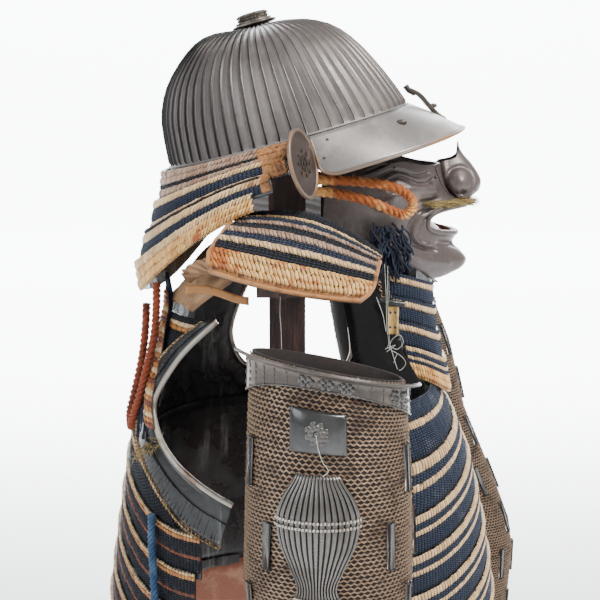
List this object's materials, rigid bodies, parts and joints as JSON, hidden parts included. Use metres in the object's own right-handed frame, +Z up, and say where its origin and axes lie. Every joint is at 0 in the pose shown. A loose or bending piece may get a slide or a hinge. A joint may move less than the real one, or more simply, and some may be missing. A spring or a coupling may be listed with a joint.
{
  "type": "samurai armour on a wooden stand",
  "caption": "Laced Japanese armour on a post stand: ribbed helmet with neck guard, face mask, wrap-around cuirass open at the right, shoulder flaps, skirt and mail sleeves.",
  "frame": {"origin": "on the underside of the stand's base, straight below the middle of the armour", "axes": "+Z up, -Y the way the armour faces, +X to the wearer's left"},
  "size_m": [0.5945, 0.5385, 1.3092],
  "materials": {
    "russet_iron": "dark iron with a thin brown rust lacquer, satin, rubbed brighter on edges",
    "black_lacquer": "black lacquer, glossy but dusty and finely cracked",
    "gold_lacquer": "scale heads in worn gold lacquer on rawhide, laced in dark blue",
    "indigo_lacing": "close rows of dark blue silk braid over lacquered scales with cream heads",
    "mail_on_cloth": "brown iron mail sewn on dark hemp cloth",
    "leather": "smoked leather, cracked and scuffed",
    "orange_cord": "thick twisted silk cord, faded orange",
    "hair": "stiff boar bristle, straw coloured",
    "stained_wood": "dark stained cypress, satin"
  },
  "bodies": {
    "root": {"stand_base": "stained_wood", "stand_post": "stained_wood", "stand_shoulder_bar": "stained_wood", "stand_head_disc": "stained_wood", "helmet_bowl": "russet_iron", "crown_fitting": "russet_iron", "visor": "russet_iron", "neck_lame_1": "gold_lacquer", "neck_lame_2": "gold_lacquer", "neck_lame_3": "gold_lacquer", "neck_lame_4": "gold_lacquer", "turnback_right": "leather", "turnback_left": "leather", "crest_holder": "russet_iron", "chin_cord_right": "orange_cord", "chin_cord_left": "orange_cord", "mask_face": "russet_iron", "mask_nose": "russet_iron", "moustache": "hair", "throat_lame_1": "indigo_lacing", "throat_lame_2": "indigo_lacing", "throat_lame_3": "indigo_lacing", "throat_lame_4": "indigo_lacing", "wrap_lame_1": "indigo_lacing", "wrap_lame_2": "indigo_lacing", "wrap_lame_3": "indigo_lacing", "wrap_lame_4": "indigo_lacing", "wrap_lame_5": "indigo_lacing", "wrap_lame_6": "indigo_lacing", "chest_plate": "black_lacquer", "front_upper_lame": "indigo_lacing", "back_plate": "black_lacquer", "back_upper_lame_1": "indigo_lacing", "back_upper_lame_2": "indigo_lacing", "back_upper_lame_3": "indigo_lacing", "armpit_plate_right_back": "black_lacquer", "armpit_plate_right_front": "black_lacquer", "armpit_plate_left": "black_lacquer", "shoulder_strap_right": "leather", "shoulder_strap_left": "leather", "back_cord": "orange_cord", "shoulder_flap_right": "gold_lacquer", "shoulder_flap_left": "gold_lacquer", "skirt_panel_1": "indigo_lacing", "skirt_panel_2": "indigo_lacing", "skirt_panel_3": "indigo_lacing", "skirt_panel_4": "indigo_lacing", "skirt_panel_5": "indigo_lacing", "skirt_panel_6": "indigo_lacing", "skirt_panel_7": "indigo_lacing", "sleeve_cloth_right": "mail_on_cloth", "sleeve_cap_right": "russet_iron", "sleeve_emblem_right": "black_lacquer", "sleeve_gourd_right": "russet_iron", "hand_guard_right": "russet_iron", "sleeve_cloth_left": "mail_on_cloth", "sleeve_cap_left": "russet_iron", "sleeve_emblem_left": "black_lacquer", "sleeve_gourd_left": "russet_iron", "hand_guard_left": "russet_iron"}
  },
  "joints": []
}
